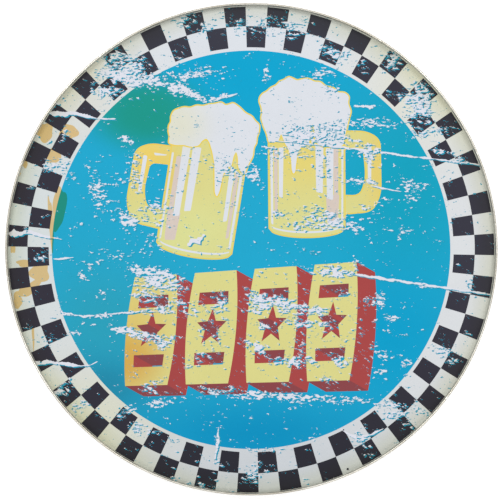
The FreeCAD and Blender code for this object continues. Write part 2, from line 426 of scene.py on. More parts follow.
@dataclass
class BarrelRow:
    """Four chunky barrels drawn as blocks that stand out from the picture.

    A barrel is an outline in s across and t up, 0 to 1 over the row, and the row is put on the
    picture by weighting its four corners with s and t. The blocks' depth is one slanting step. Hoops
    and stars are shares of a barrel's half width across and of its height up.
    """
    corners: tuple = ((-87.4, -91.6), (68.7, -87.6), (73.4, -7.9), (-80.7, -18.6))
    depth: tuple = (12.5, -7.0)
    count: int = 4
    gap: float = 0.045
    end_width: float = 0.84
    swell: float = 0.16
    hoop_feet: tuple = (0.17, 0.71)
    hoop_height: float = 0.11
    hoop_reach: float = 0.62
    star_tip: float = 0.62
    star_notch: float = 0.27
    star_height: float = 0.28
    sharp_turn: float = 24.0
    shade_slope: float = 0.9

    def placed(self, st: np.ndarray) -> np.ndarray:
        """Points of the row on the picture: the corners weighted (1-s)(1-t), s(1-t), st and (1-s)t.

        Args:
            st: rows of s and t.
        Returns:
            Rows of x and y.
        """
        s, t = st[:, 0:1], st[:, 1:2]
        low_left, low_right, high_right, high_left = np.asarray(self.corners)
        return (low_left * (1 - s) * (1 - t) + low_right * s * (1 - t) + high_right * s * t
                + high_left * (1 - s) * t)

    def on_barrel(self, number: int, across: np.ndarray, up: np.ndarray) -> np.ndarray:
        """Points of one barrel on the picture.

        The half width is end_width + swell (1 - (2t-1)^2) of its greatest, so the sides bulge.

        Args:
            number: which barrel, counted from the left.
            across: from -1 on its left side to 1 on its right.
            up: from 0 at its foot to 1 at its head.
        Returns:
            The points, in rows of x and y.
        """
        width = (1 - self.gap * (self.count - 1)) / self.count
        middle = number * (width + self.gap) + width / 2
        bulge = self.end_width + self.swell * (1 - (2 * up - 1) ** 2)
        return self.placed(np.stack([middle + 0.5 * width * across * bulge, up], axis=1))

    def rims(self, number: int) -> list:
        """One barrel's outline and the slots and the star that are cut from it.

        Args:
            number: which barrel, counted from the left.
        Returns:
            The four outlines, on the picture.
        """
        up = np.linspace(0, 1, 13)
        side = np.ones_like(up)
        found = [np.concatenate([self.on_barrel(number, side, up),
                                 self.on_barrel(number, -side, up[::-1])])]
        across = np.linspace(-self.hoop_reach, self.hoop_reach, 7)
        for foot in self.hoop_feet:
            level = np.full_like(across, foot)
            found.append(np.concatenate([self.on_barrel(number, across, level),
                                         self.on_barrel(number, across[::-1], level + self.hoop_height)]))
        angle = np.radians(90) + np.arange(10) * np.pi / 5
        reach = np.where(np.arange(10) % 2 == 0, self.star_tip, self.star_notch)
        found.append(self.on_barrel(number, reach * np.cos(angle),
                                    0.5 + self.star_height * reach * np.sin(angle)))
        return found

    def walls(self, rims: list) -> list:
        """The lines that bound the blocks' walls.

        They are the rims moved by the depth, and for each sharp or outermost point of a rim a line
        to its moved one.

        Args:
            rims: every outline and cut-out.
        Returns:
            The lines, each an array of points.
        """
        step = np.asarray(self.depth)
        lines = []
        for rim in rims:
            before, after = rim - np.roll(rim, 1, axis=0), np.roll(rim, -1, axis=0) - rim
            turn = np.degrees(np.arctan2(before[:, 0] * after[:, 1] - before[:, 1] * after[:, 0],
                                         np.sum(before * after, axis=1)))
            aside = rim[:, 0] * step[1] - rim[:, 1] * step[0]
            chosen = np.abs(turn) > self.sharp_turn
            chosen[[aside.argmin(), aside.argmax()]] = True
            lines.append(closed(rim) + step)
            lines += [np.stack([point, point + step]) for point in rim[chosen]]
        return lines

    def shade(self, at: np.ndarray, rims: list, inks: np.ndarray) -> None:
        """Gives the walls' points their ink.

        A point p is on a wall if the segment from p back to p minus the depth crosses a rim. The
        nearest crossing is the rim's edge that made the wall, and a wall whose edge runs across more
        than up, by the shade's slope, is in shade.

        Args:
            at: points on the picture.
            rims: every outline and cut-out.
            inks: the points' ink numbers, changed in place.
        """
        back = -np.asarray(self.depth)
        starts = np.concatenate(rims)
        ends = np.concatenate([np.roll(rim, -1, axis=0) for rim in rims])
        low, high = starts.min(axis=0) - np.maximum(back, 0), starts.max(axis=0) - np.minimum(back, 0)
        near = np.flatnonzero(np.all((at >= low) & (at <= high), axis=1))
        run = ends - starts
        gap = starts[None] - at[near][:, None]
        cross = back[0] * run[:, 1] - back[1] * run[:, 0]
        cross = np.where(np.abs(cross) < 1e-9, 1e-9, cross)
        along = (gap[..., 0] * run[:, 1] - gap[..., 1] * run[:, 0]) / cross
        beside = (gap[..., 0] * back[1] - gap[..., 1] * back[0]) / cross
        met = np.where((along > 0) & (along <= 1) & (beside >= 0) & (beside <= 1), along, np.inf)
        first = met.argmin(axis=1)
        hit = np.isfinite(met[np.arange(len(near)), first])
        shaded = np.abs(run[first, 0]) > self.shade_slope * np.abs(run[first, 1])
        inks[near[hit]] = np.where(shaded[hit], INKS.index(Ink.DARK_RED), INKS.index(Ink.RED))

    def paint(self, picture: Picture) -> list:
        """Adds the lines of the barrels and their walls, and returns every rim for shade to fill."""
        rims = [rim for number in range(self.count) for rim in self.rims(number)]
        picture.lines += self.walls(rims)
        picture.lines += [closed(rim) for rim in rims]
        return rims


# ---------------------------------------------------------------- wear of the print


FAINT_WEAR = 0.16    # the share that has flaked where nothing has rubbed
REACH = 0.56         # how far from its middle a rub is strong, as a share of its width
FADING = 2.4         # how sharply it ends there


def faded(strength: float, distance: np.ndarray) -> np.ndarray:
    """A bell curve with a flat top: strength e^-(distance^FADING)."""
    return strength * np.exp(-distance ** FADING)


@dataclass(frozen=True)
class Rub:
    """A rubbed place: an ellipse, turned by an angle, where the print has flaked."""
    x: float
    y: float
    width: float
    height: float
    angle: float = 0.0
    strength: float = 0.75

    def density(self, at: np.ndarray) -> np.ndarray:
        """How much has flaked: faded, with distance 1 a little outside the ellipse.

        Args:
            at: points on the picture.
        Returns:
            The share that has flaked at each.
        """
        near = turned(at - (self.x, self.y), -self.angle)
        distance = np.hypot(near[:, 0] / (REACH * self.width), near[:, 1] / (REACH * self.height))
        return faded(self.strength, distance)


@dataclass(frozen=True)
class Drag:
    """A long rubbed streak along a path, as wide as its widths say, from its first to its last point."""
    path: tuple
    widths: tuple
    strength: float
    margin: float = 15.0

    def density(self, at: np.ndarray) -> np.ndarray:
        """How much has flaked: faded away from the path, and none past the margin.

        Args:
            at: points on the picture.
        Returns:
            The share that has flaked at each.
        """
        line = smooth_path(self.path, steps=6)
        width = np.interp(np.linspace(0, 1, len(line)), np.linspace(0, 1, len(self.widths)), self.widths)
        low, high = line.min(axis=0) - self.margin, line.max(axis=0) + self.margin
        near = np.flatnonzero(np.all((at > low) & (at < high), axis=1))
        gap = np.linalg.norm(at[near][:, None] - line[None], axis=2) / (REACH * width)
        found = np.zeros(len(at))
        found[near] = faded(self.strength, gap.min(axis=1))
        return found


RUBS = (
    # the picture's upper left
    Rub(-35, 119, 46, 8, 2, 0.62), Rub(-95, 106, 26, 8, -14, 0.7), Rub(-89, 129, 17, 13, 30, 0.64),
    Rub(-75, 124, 14, 12, 0, 0.7), Rub(-50, 134, 10, 9, 0, 0.55), Rub(-45, 157, 15, 7, 8, 0.6),
    Rub(-10, 157, 12, 7, 0, 0.5), Rub(-132, 98, 16, 5, 35, 0.5), Rub(-84, 74, 10, 5, -20, 0.75),
    Rub(-131, 55, 17, 8, 10, 0.6), Rub(-120, 48, 9, 8, 0, 0.55), Rub(-103, 38, 15, 26, 10, 0.62),
    Rub(-92, 46, 8, 8, 0, 0.5), Rub(-82, 20, 17, 10, -25, 0.8), Rub(-115, 17, 10, 6, 0, 0.5),
    Rub(-78, 52, 11, 28, 8, 0.5), Rub(-66, 26, 14, 15, 0, 0.6), Rub(-66, 9, 9, 14, 0, 0.46),
    Rub(-54, 24, 9, 6, 0, 0.5),
    Rub(-12, 52, 24, 7, -12, 0.62), Rub(-36, 84, 4, 3, 0, 0.3), Rub(-148, 78, 10, 5, 30, 0.4),
    Rub(-100, 60, 26, 12, 0, 0.16), Rub(-30, 60, 26, 22, 0, 0.16), Rub(-52, 50, 20, 20, 0, 0.14),
    # the picture's upper right
    Rub(5, 156, 14, 7, 0, 0.6), Rub(14, 148, 20, 3, -3, 0.75), Rub(10, 118, 3.5, 11, 0, 0.75),
    Rub(45, 118, 20, 8, 12, 0.72), Rub(54, 109, 14, 6, -18, 0.55), Rub(57, 132, 20, 10, -12, 0.7),
    Rub(75, 122, 12, 8, -30, 0.6), Rub(95, 128, 14, 13, -40, 0.62), Rub(114, 105, 16, 13, -40, 0.72),
    Rub(96, 104, 16, 5, -8, 0.6), Rub(113, 94, 17, 22, 20, 0.72), Rub(82, 85, 36, 7, -5, 0.62),
    Rub(79, 96, 20, 2.5, -4, 0.8), Rub(45, 82, 50, 7, 0, 0.58), Rub(40, 76, 60, 7, -4, 0.66),
    Rub(127, 66, 13, 5, -8, 0.65), Rub(52, 52, 8, 7, 0, 0.5), Rub(74, 46, 28, 3.5, -6, 0.85),
    Rub(108, 42, 19, 9, -14, 0.72), Rub(106, 34, 13, 4, 0, 0.6), Rub(89, 33, 10, 2.5, 0, 0.8),
    Rub(76, 29, 14, 4, -8, 0.65), Rub(20, 23, 22, 3.5, 6, 0.7), Rub(50, 20, 30, 13, 0, 0.82),
    Rub(70, 14, 16, 8, -20, 0.66), Rub(33, 15, 22, 5, -8, 0.55), Rub(3, 50, 8, 22, 20, 0.5),
    Rub(14, 65, 13, 4, 0, 0.7), Rub(100, 8, 8, 5, 0, 0.6), Rub(104, 13, 8, 4, 0, 0.5),
    Rub(35, 66, 60, 14, 0, 0.34), Rub(55, 44, 40, 16, 0, 0.16), Rub(124, 120, 10, 8, -45, 0.4),
    Rub(118, 78, 30, 8, 10, 0.42), Rub(30, 100, 12, 16, 0, 0.16), Rub(139, 60, 14, 4, -5, 0.5),
    # the lower left
    Rub(-141, -5, 10, 6, 0, 0.62), Rub(-112, -19, 10, 6, -30, 0.6), Rub(-101, -30, 8, 9, 20, 0.62),
    Rub(-107, -12, 8, 5, 0, 0.5), Rub(-68, -15, 26, 7, -6, 0.82), Rub(-60, -22, 34, 13, -8, 0.8),
    Rub(-74, -28, 24, 11, -8, 0.42), Rub(-118, -56, 15, 5, 5, 0.6), Rub(-60, -64, 12, 5, 0, 0.75),
    Rub(-62, -36, 24, 12, 15, 0.34), Rub(-128, -95, 16, 9, 30, 0.66), Rub(-115, -104, 14, 7, 30, 0.6),
    Rub(-85, -110, 12, 7, 30, 0.66), Rub(-76, -120, 8, 9, 0, 0.6), Rub(-66, -123, 12, 5, 0, 0.6),
    Rub(-53, -130, 9, 6, 0, 0.55), Rub(-66, -92, 9, 9, 0, 0.66), Rub(-62, -103, 18, 5, 4, 0.7),
    Rub(-14, -96, 30, 6, 0, 0.7), Rub(-23, -131, 3.5, 20, 0, 0.62), Rub(-30, -155, 13, 8, 0, 0.6),
    Rub(-38, -75, 24, 10, 0, 0.3), Rub(-24, -56, 34, 26, 0, 0.32), Rub(-44, -40, 26, 12, 0, 0.36),
    Rub(-138, -62, 14, 6, 15, 0.4), Rub(-45, -100, 22, 4, 5, 0.5), Rub(-86, 0, 46, 18, 0, 0.26),
    Rub(-20, -36, 12, 14, 30, 0.5),
    # the lower right
    Rub(43, -3, 9, 5, 0, 0.62), Rub(70, -8, 9, 6, 0, 0.5), Rub(54, -15, 30, 8, -6, 0.76),
    Rub(116, -25, 12, 3.5, -10, 0.7), Rub(3, -37, 13, 15, 20, 0.74), Rub(18, -36, 40, 11, -8, 0.82),
    Rub(46, -42, 24, 6, -8, 0.78), Rub(40, -50, 26, 5, -5, 0.7), Rub(10, -52, 12, 4, 8, 0.6),
    Rub(5, -66, 14, 9, 0, 0.7), Rub(28, -76, 28, 6, -4, 0.66), Rub(60, -75, 12, 9, -30, 0.66),
    Rub(52, -88, 15, 6, -18, 0.6), Rub(24, -99, 54, 5.5, -3, 0.76), Rub(66, -101, 28, 4, -7, 0.66),
    Rub(30, -105, 13, 6, 0, 0.6), Rub(86, -34, 10, 8, 30, 0.7), Rub(93, -46, 13, 4.5, -8, 0.74),
    Rub(77, -38, 8, 12, -10, 0.4), Rub(88, -71, 18, 7, -24, 0.7), Rub(88, -82, 11, 4, 5, 0.6),
    Rub(105, -76, 9, 6, -20, 0.6), Rub(128, -68, 12, 8, 0, 0.6), Rub(135, -75, 8, 5, 0, 0.5),
    Rub(94, -104, 16, 4, -5, 0.62), Rub(112, -107, 12, 6, -30, 0.6), Rub(76, -128, 10, 14, 20, 0.55),
    Rub(40, -126, 12, 4, 10, 0.62), Rub(12, -134, 26, 3, 0, 0.45), Rub(7, -152, 10, 7, 0, 0.62),
    Rub(0, -60, 14, 10, 0, 0.4), Rub(60, -30, 30, 8, -6, 0.34), Rub(104, -60, 14, 6, -25, 0.45),
    Rub(95, 20, 34, 12, -10, 0.2),
    Rub(36, -60, 26, 30, 0, 0.28), Rub(80, 66, 16, 10, -10, 0.72), Rub(70, -60, 16, 26, 0, 0.2),
    # the border
    Rub(-5, 149, 28, 8, 0, 0.46), Rub(28, 146, 16, 9, 0, 0.48), Rub(-127, 77, 16, 10, 30, 0.42),
    Rub(98, -112, 26, 10, -40, 0.44), Rub(147, -26, 8, 16, 0, 0.4), Rub(-30, 146, 16, 6, 10, 0.4),
)
DRAGS = (
    Drag(((-102, 119), (-92, 118), (-78, 114), (-60, 111), (-47, 108)), (6, 9, 8, 4), 0.94),
    Drag(((-48, 109), (-38, 104), (-30, 101), (-17, 104)), (9, 5, 4, 4), 0.9),
    Drag(((-118, -48), (-100, -51), (-88, -54), (-75, -57), (-50, -61)), (2, 3.5, 6, 4), 0.82),
    Drag(((-127, -42), (-105, -45), (-80, -42), (-38, -41)), (2, 2.5, 3, 3), 0.76),
    Drag(((-20, -144), (-8, -147), (2, -150)), (4, 5, 4), 0.7),
)
# Each scratch: the points that it passes through, and its widths from first to last.
SCRATCHES = (
    (((-140, 92), (-120, 91), (-100, 88), (-91, 88)), (1.6, 2.6, 1.4, 0.5)),
    (((15, 73.5), (60, 69), (110, 62.5), (155, 57)), (0.4, 1.2, 1.1, 0.7)),
    (((80, 43), (90, 41), (101, 39)), (0.5, 1.3, 0.4)),
    (((-163, 11), (-148, 11), (-138, 9), (-127, 7)), (4.0, 3.4, 1.4, 0.4)),
    (((58, -15), (110, -22.5), (163, -30.5)), (0.9, 1.4, 1.2, 0.8)),
    (((-127, -43), (-108, -44.5), (-80, -42), (-60, -41)), (1.6, 1.2, 0.9, 0.4)),
    (((-22, -119), (-23, -131), (-24, -141)), (0.6, 1.9, 0.7)),
    (((-152, -75), (-130, -76), (-112, -78), (-103, -75)), (2.0, 2.4, 1.4, 0.4)),
    (((-133, -6), (-126, -6), (-119, -5)), (0.5, 1.4, 0.4)),
    (((60, -120), (66, -124), (72, -126), (80, -124), (89, -120)), (0.4, 1.3, 1.3, 0.4)),
    (((-26, 100), (-16, 103), (-9, 105)), (1.8, 1.4, 0.4)),
    (((-43, 3), (-37, 6.5), (-31, 10)), (3.4, 4.2, 3.4)),
)
CHIP_SHIFT = (0.9, -0.7)    # from a white chip to the teal edge that shows beside it
SCRATCH_STEP = 0.9
SLOW_TEAR, QUICK_TEAR = 0.45, 0.16


@dataclass(frozen=True)
class Stain:
    """A drink's mark that has dried on the print: a blot whose edge waves three and five times."""
    x: float
    y: float
    width: float
    height: float
    angle: float = 0.0
    phase: float = 0.0

    def outline(self) -> np.ndarray:
        """The ellipse, its radius times 1 + 0.12 sin(3a + phase) + 0.07 sin(5a - 2 phase)."""
        rim = circle(1.0, 30)
        angle = np.arctan2(rim[:, 1], rim[:, 0])
        wave = 1 + 0.12 * np.sin(3 * angle + self.phase) + 0.07 * np.sin(5 * angle - 2 * self.phase)
        shape = rim * wave[:, None] * (0.5 * self.width, 0.5 * self.height)
        return turned(shape, self.angle) + (self.x, self.y)


STAINS = (
    Stain(-139, 79, 12, 13, 20, 0.4), Stain(-123, 79, 13, 11, 0, 1.7), Stain(-133, 63, 10, 10, 0, 2.6),
    Stain(-134.5, 18, 3.2, 36, 4, 0.9), Stain(-129, 28, 9, 29, -6, 0.6), Stain(-160, 1, 3.4, 7, 0, 3.1),
    Stain(-152, -9, 11, 5, 0, 0.2),
    Stain(-142, -15, 13, 14, 0, 4.2), Stain(-149, -26, 18, 7, 35, 1.1), Stain(-157, -34, 6, 12, 0, 2.2),
    Stain(-146.5, -57, 1.6, 20, 3, 0.7), Stain(-156, 51, 2.6, 2.6),
    Stain(-152, 58, 4, 6, 0, 5.0),
)
SPECKS = ((64.9, -147.3, 0.8), (62.0, -121.0, 0.5), (-156.0, 51.0, 0.5))    # x, y and radius
STAIN_TINT = (0.97, 0.68, 0.33)


def scratch(path: tuple, widths: tuple, seed: int) -> np.ndarray:
    """A torn ribbon along a path.

    Args:
        path: the points that the scratch's middle goes through.
        widths: its width in millimetres, spread evenly from its first point to its last.
        seed: picks how its two edges are torn.
    Returns:
        The ribbon's outline: both edges, each moved at random, slowly by up to SLOW_TEAR of the
        width and at every point by up to QUICK_TEAR of it.
    """
    rng = np.random.default_rng(seed)
    line = smooth_path(path, steps=16)
    length = np.concatenate([[0], np.cumsum(np.linalg.norm(np.diff(line, axis=0), axis=1))])
    along = np.linspace(0, length[-1], max(8, int(length[-1] / SCRATCH_STEP)))
    line = np.stack([np.interp(along, length, line[:, axis]) for axis in (0, 1)], axis=1)
    tangent = np.gradient(line, axis=0)
    normal = np.stack([-tangent[:, 1], tangent[:, 0]], axis=1)
    normal /= np.linalg.norm(normal, axis=1, keepdims=True)
    width = np.interp(along, np.linspace(0, length[-1], len(widths)), widths)
    coarse = rng.uniform(-SLOW_TEAR, SLOW_TEAR, (len(line) // 4 + 2, 2))
    place = np.arange(len(line)) / 4
    slow = np.stack([np.interp(place, np.arange(len(coarse)), side) for side in coarse.T], axis=1)
    torn = width[:, None] * (0.5 + slow + rng.uniform(-QUICK_TEAR, QUICK_TEAR, (len(line), 2)))
    torn[[0, -1]] *= 0.2
    return np.concatenate([line + normal * torn[:, :1], (line - normal * torn[:, 1:])[::-1]])


# ---------------------------------------------------------------- meshes


def lathe(profile: np.ndarray, segments: int) -> tuple[np.ndarray, list]:
    """A profile carried round the Z axis: (r, z) becomes (r cos a, r sin a, z) at each angle a.

    Args:
        profile: rows of radius and height. The surface faces left of the way along the profile,
            seen with +r to the right, so it goes outwards on top and inwards underneath.
        segments: how many steps round.
    Returns:
        The vertices, one ring for each profile point or one vertex on the axis, and the faces.
    """
    angle = np.arange(segments) * 2 * np.pi / segments
    rings, numbers, count = [], [], 0
    for radius, height in profile:
        size = 1 if radius < 1e-9 else segments
        a = angle[:size]
        rings.append(np.stack([radius * np.cos(a), radius * np.sin(a), np.full(size, height)], axis=1))
        numbers.append(np.broadcast_to(count + np.arange(size), segments))
        count += size
    faces = []
    for a, b in zip(numbers, numbers[1:]):
        quads = np.stack([a, b, np.roll(b, -1), np.roll(a, -1)], axis=1)
        if a[0] == a[1]:
            quads = quads[:, :3]
        elif b[0] == b[1]:
            quads = quads[:, [0, 1, 3]]
        faces += quads.tolist()
    return np.concatenate(rings), faces


def arc(centre: tuple, radius: float, start: float, end: float, steps: int) -> np.ndarray:
    """Points along an arc of a profile, angles in degrees anticlockwise from +r."""
    angle = np.radians(np.linspace(start, end, steps))
    return np.stack([centre[0] + radius * np.cos(angle), centre[1] + radius * np.sin(angle)], axis=1)


def shifted(faces: list, amount: int) -> list:
    """The faces with every vertex number raised by an amount."""
    return [[number + amount for number in face] for face in faces]


def make_piece(name: str, vertices: np.ndarray, faces: list, sharp: float) -> bpy.types.Object:
    """A smooth-shaded mesh object at the origin.

    Args:
        name: the piece's name.
        vertices: rows of x, y and z in millimetres.
        faces: vertex numbers, anticlockwise from outside.
        sharp: edges that turn more than this many degrees stay sharp.
    Returns:
        The object, linked to the scene.
    """
    mesh = bpy.data.meshes.new(name)
    mesh.from_pydata((np.asarray(vertices) * MM).tolist(), [], faces)
    mesh.shade_smooth()
    mesh.set_sharp_from_angle(angle=math.radians(sharp))
    mesh.update()
    made = bpy.data.objects.new(name, mesh)
    bpy.context.scene.collection.objects.link(made)
    return made


def install(piece: bpy.types.Object, material: bpy.types.Material, slot: str, *nodes: str) -> None:
    """Gives a new piece its material and its body, and hides the CAD nodes that it stands for.

    Args:
        piece: the object.
        material: its finish.
        slot: not used.
        nodes: the CAD nodes that it hides.
    """
    piece.data.materials.append(material)
    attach(piece, BODY)
    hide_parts(*nodes)
    log.info("%s: %d vertices, stands for %s", piece.name, len(piece.data.vertices), ", ".join(nodes))


def dress_node(name: str, material: bpy.types.Material) -> None:
    """Gives a CAD node's own mesh a better material.

    Args:
        name: the node's name.
        material: its finish.
    """
    node = frame["nodes"][name]
    if not node.material_slots:
        node.data.materials.append(material)
    for place in node.material_slots:
        place.material = material
    log.info("%s: dressed in %s", name, material.name)


# ---------------------------------------------------------------- node wiring


Value = bpy.types.NodeSocket | float | tuple


class Wiring:
    """Short calls that add and join the nodes of one tree. A Value is a socket or a plain number."""

    def __init__(self, tree: bpy.types.NodeTree) -> None:
        """Works on an empty tree."""
        self.tree = tree

    def node(self, kind: str, **settings) -> bpy.types.Node:
        """Adds a shader node of a kind, such as TexNoise, with its own settings."""
        made = self.tree.nodes.new("ShaderNode" + kind)
        for name, value in settings.items():
            setattr(made, name, value)
        return made

    def put(self, socket: bpy.types.NodeSocket, value: Value) -> None:
        """Links a socket to another, or sets its value."""
        if isinstance(value, bpy.types.NodeSocket):
            self.tree.links.new(value, socket)
        else:
            socket.default_value = value

    def math(self, operation: str, *values: Value, clamp: bool = False) -> bpy.types.NodeSocket:
        """One step of arithmetic on sockets or numbers."""
        made = self.node("Math", operation=operation, use_clamp=clamp)
        for socket, value in zip(made.inputs, values):
            self.put(socket, value)
        return made.outputs[0]

    def vector(self, operation: str, *values: Value) -> bpy.types.NodeSocket:
        """One step of arithmetic on vectors. Length gives its value."""
        made = self.node("VectorMath", operation=operation)
        for socket, value in zip(made.inputs, values):
            self.put(socket, value)
        return made.outputs["Value" if operation == "LENGTH" else "Vector"]

    def mix(self, factor: Value, first: Value, second: Value, blend: str = "MIX") -> bpy.types.NodeSocket:
        """Two colours mixed by a factor."""
        made = self.node("Mix", data_type="RGBA", blend_type=blend)
        for number, value in ((0, factor), (6, first), (7, second)):
            self.put(made.inputs[number], value)
        return made.outputs[2]

    def noise(self, vector: bpy.types.NodeSocket, scale: Value, detail: float = 2.0,
              roughness: Value = 0.5, distortion: float = 0.0) -> bpy.types.NodeSocket:
        """Fractal noise between 0 and 1."""
        made = self.node("TexNoise")
        for name, value in (("Vector", vector), ("Scale", scale), ("Detail", detail),
                            ("Roughness", roughness), ("Distortion", distortion)):
            self.put(made.inputs[name], value)
        return made.outputs[0]

    def span(self, value: Value, low: Value, high: Value, to_low: float = 0.0,
             to_high: float = 1.0) -> bpy.types.NodeSocket:
        """A value mapped from low..high to another span, smoothly and without passing its ends."""
        made = self.node("MapRange", interpolation_type="SMOOTHSTEP")
        for socket, number in zip(made.inputs, (value, low, high, to_low, to_high)):
            self.put(socket, number)
        return made.outputs[0]

    def stretched(self, vector: bpy.types.NodeSocket, scale: tuple,
                  angle: float = 0.0) -> bpy.types.NodeSocket:
        """Coordinates turned about Z by an angle in degrees and scaled along each axis."""
        made = self.node("Mapping", vector_type="POINT")
        self.put(made.inputs["Vector"], vector)
        made.inputs["Rotation"].default_value = (0, 0, math.radians(angle))
        made.inputs["Scale"].default_value = scale
        return made.outputs[0]

    def bump(self, height: bpy.types.NodeSocket, depth: float, strength: float) -> bpy.types.NodeSocket:
        """The normal of a surface that a height raises, depth metres at most."""
        made = self.node("Bump")
        made.inputs["Distance"].default_value = depth
        made.inputs["Strength"].default_value = strength
        self.put(made.inputs["Height"], height)
        return made.outputs[0]

    def place(self) -> bpy.types.NodeSocket:
        """Object coordinates."""
        return self.node("TexCoord").outputs["Object"]

    def use(self, tree: bpy.types.NodeTree, **values: Value) -> bpy.types.Node:
        """Places a node group. An underscore in a value's name stands for a space."""
        made = self.node("Group", node_tree=tree)
        for name, value in values.items():
            self.put(made.inputs[name.replace("_", " ")], value)
        return made


def new_group(name: str, inputs: dict, outputs: dict) -> tuple[Wiring, dict, dict]:
    """An empty shader node group.

    Args:
        name: the effect's name.
        inputs: each input's name, with "Vector" for a vector or a number as its default.
        outputs: each output's name and its kind, such as Float or Color.
    Returns:
        The group's wiring, its inputs' sockets and its outputs' sockets.
    """
    tree = bpy.data.node_groups.new(name, "ShaderNodeTree")
    for title, default in inputs.items():
        kind = "NodeSocketVector" if default == "Vector" else "NodeSocketFloat"
        socket = tree.interface.new_socket(name=title, in_out="INPUT", socket_type=kind)
        if default != "Vector":
            socket.default_value = default
    for title, kind in outputs.items():
        tree.interface.new_socket(name=title, in_out="OUTPUT", socket_type="NodeSocket" + kind)
    wires = Wiring(tree)
    entry, leave = tree.nodes.new("NodeGroupInput"), tree.nodes.new("NodeGroupOutput")
    given, out = ({socket.name: socket for socket in sockets if socket.name}
                  for sockets in (entry.outputs, leave.inputs))
    return wires, given, out


class Effects:
    """The surface effects that several materials share, each built once as a node group."""

    def __init__(self) -> None:
        """Builds every group."""
        self.flaking = self.build_flaking()
        self.mottle = self.build_mottle()
        self.grain = self.build_grain()
        self.hairlines = self.build_hairlines()
        self.rim_ageing_and_shade = self.build_rim_ageing_and_shade()

    @staticmethod
    def build_flaking() -> bpy.types.NodeTree:
        """Where print has flaked off: stretched noise above a level that falls as density rises."""
        wires, given, out = new_group("flaking", {"Vector": "Vector", "Shift": "Vector", "Density": 0.5,
                                                  "Bias": 0.0}, {"Mask": "Float"})
        moved = wires.vector("SUBTRACT", given["Vector"], given["Shift"])
        drawn_out = (0.5, 1.0, 1.0)
        chips = wires.noise(wires.stretched(moved, drawn_out, angle=9), scale=680, detail=2.4,
                            roughness=0.66, distortion=0.3)
        clumps = wires.noise(wires.stretched(moved, drawn_out, angle=-6), scale=210, detail=2.0,
                             roughness=0.6, distortion=0.4)
        swing = wires.math("MULTIPLY", wires.math("SUBTRACT", clumps, 0.5), 0.42)
        value = wires.math("ADD", chips, swing)
        level = wires.math("SUBTRACT", 0.78, wires.math("MULTIPLY", given["Density"], 0.40))
        level = wires.math("ADD", level, given["Bias"])
        wires.put(out["Mask"], wires.span(value, level, wires.math("ADD", level, 0.012)))
        return wires.tree

    @staticmethod
    def build_mottle() -> bpy.types.NodeTree:
        """Slow unevenness of a colour: a factor about 1 from two sizes of noise."""
        wires, given, out = new_group("mottle", {"Vector": "Vector", "Scale": 40.0, "Amount": 0.1},
                                      {"Factor": "Float"})
        slow = wires.noise(given["Vector"], given["Scale"], detail=3.0, roughness=0.55)
        fast = wires.noise(given["Vector"], wires.math("MULTIPLY", given["Scale"], 9.0), roughness=0.6)
        both = wires.math("ADD", wires.math("MULTIPLY", slow, 0.7), wires.math("MULTIPLY", fast, 0.3))
        swing = wires.math("MULTIPLY", wires.math("SUBTRACT", both, 0.5), given["Amount"])
        wires.put(out["Factor"], wires.math("ADD", swing, 1.0))
        return wires.tree

    @staticmethod
    def build_grain() -> bpy.types.NodeTree:
        """Fine grain, as heights: noise at the grain's own scale with finer noise on it."""
        wires, given, out = new_group("grain", {"Vector": "Vector", "Scale": 2500.0, "Fineness": 0.6},
                                      {"Height": "Float"})
        wires.put(out["Height"], wires.noise(given["Vector"], given["Scale"], detail=3.0,
                                               roughness=given["Fineness"]))
        return wires.tree

    @staticmethod
    def build_hairlines() -> bpy.types.NodeTree:
        """Fine scratches: the thin lines where warped, long-drawn noise passes its middle value."""
        wires, given, out = new_group("hairlines", {"Vector": "Vector", "Scale": 60.0, "Amount": 0.5},
                                      {"Mask": "Float"})
        masks = []
        for angle, length in ((24, 0.10), (-37, 0.16)):
            drawn = wires.stretched(given["Vector"], (length, 1.0, 1.0), angle)
            value = wires.noise(drawn, given["Scale"], detail=1.0, roughness=0.4, distortion=0.3)
            near = wires.math("ABSOLUTE", wires.math("SUBTRACT", value, 0.5))
            masks.append(wires.span(near, 0.0, 0.008, 1.0, 0.0))
        broken = wires.span(wires.noise(given["Vector"], scale=120, roughness=0.6), 0.48, 0.62)
        lines = wires.math("MULTIPLY", wires.math("MAXIMUM", *masks), broken)
        wires.put(out["Mask"], wires.math("MULTIPLY", lines, given["Amount"], clamp=True))
        return wires.tree

    @staticmethod
    def build_rim_ageing_and_shade() -> bpy.types.NodeTree:
        """Towards the rim, yellowing on the print and painted shade on the metal's bead: the distance
        from Z between two radii, made uneven by noise.
        """
        wires, given, out = new_group("rim ageing and shade", {"Vector": "Vector", "Inner": 0.15, "Outer": 0.164},
                                      {"Mask": "Float"})
        flat = wires.vector("LENGTH", wires.vector("MULTIPLY", given["Vector"], (1.0, 1.0, 0.0)))
        slow = wires.noise(given["Vector"], scale=22, detail=3.0)
        uneven = wires.math("MULTIPLY", wires.math("SUBTRACT", slow, 0.5), 0.006)
        distance = wires.math("ADD", flat, uneven)
        wires.put(out["Mask"], wires.span(distance, given["Inner"], given["Outer"]))
        return wires.tree


@dataclass(frozen=True)
class Finish:
    """What every finish has: its name, and a Principled surface with plain numbers on its sockets."""
    name: str
    metallic: float = 0.0
    roughness: float = 0.5
    coat: float = 0.0
    specular: float = 0.5

    def start(self) -> tuple[bpy.types.Material, Wiring, bpy.types.Node]:
        """A new material with its wiring and its Principled shader."""
        made = bpy.data.materials.new(self.name)
        made.use_nodes = True
        shader = made.node_tree.nodes["Principled BSDF"]
        shader.inputs["Metallic"].default_value = self.metallic
        shader.inputs["Roughness"].default_value = self.roughness
        shader.inputs["Coat Weight"].default_value = self.coat
        shader.inputs["Specular IOR Level"].default_value = self.specular
        return made, Wiring(made.node_tree), shader


